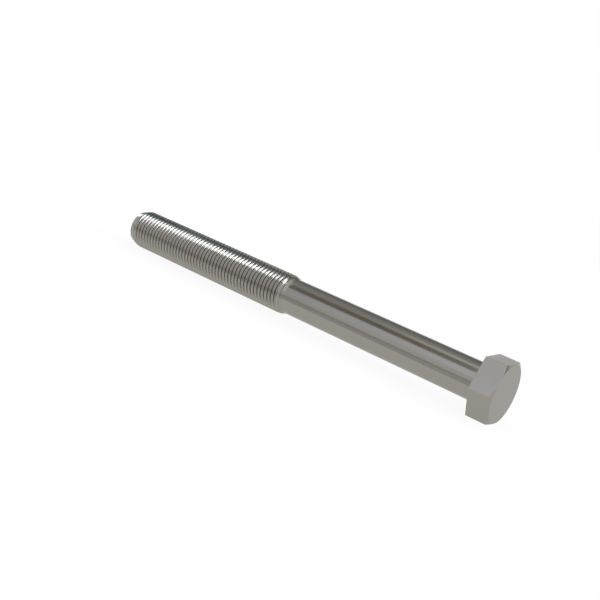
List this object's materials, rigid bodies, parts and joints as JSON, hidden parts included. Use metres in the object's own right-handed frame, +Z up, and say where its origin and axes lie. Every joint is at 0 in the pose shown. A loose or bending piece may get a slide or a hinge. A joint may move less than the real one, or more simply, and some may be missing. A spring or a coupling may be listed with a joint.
{
  "type": "hex head cap screw",
  "caption": "Long steel screw with a chamfered hexagon head, a washer face, a plain reduced shank and a fine right-hand thread that ends in a coned tip.",
  "frame": {"origin": "on the ground, below the middle of the screw's box as it lies at rest", "axes": "+X along the screw towards its head, +Z up; the screw's own axis rises towards the head by under a degree, because it lies on a flat of the head and on its thread"},
  "size_m": [0.1552, 0.0218, 0.0189],
  "materials": {
    "steel": "satin, plain stainless steel"
  },
  "bodies": {
    "root": {"cap_screw": "steel"}
  },
  "joints": []
}
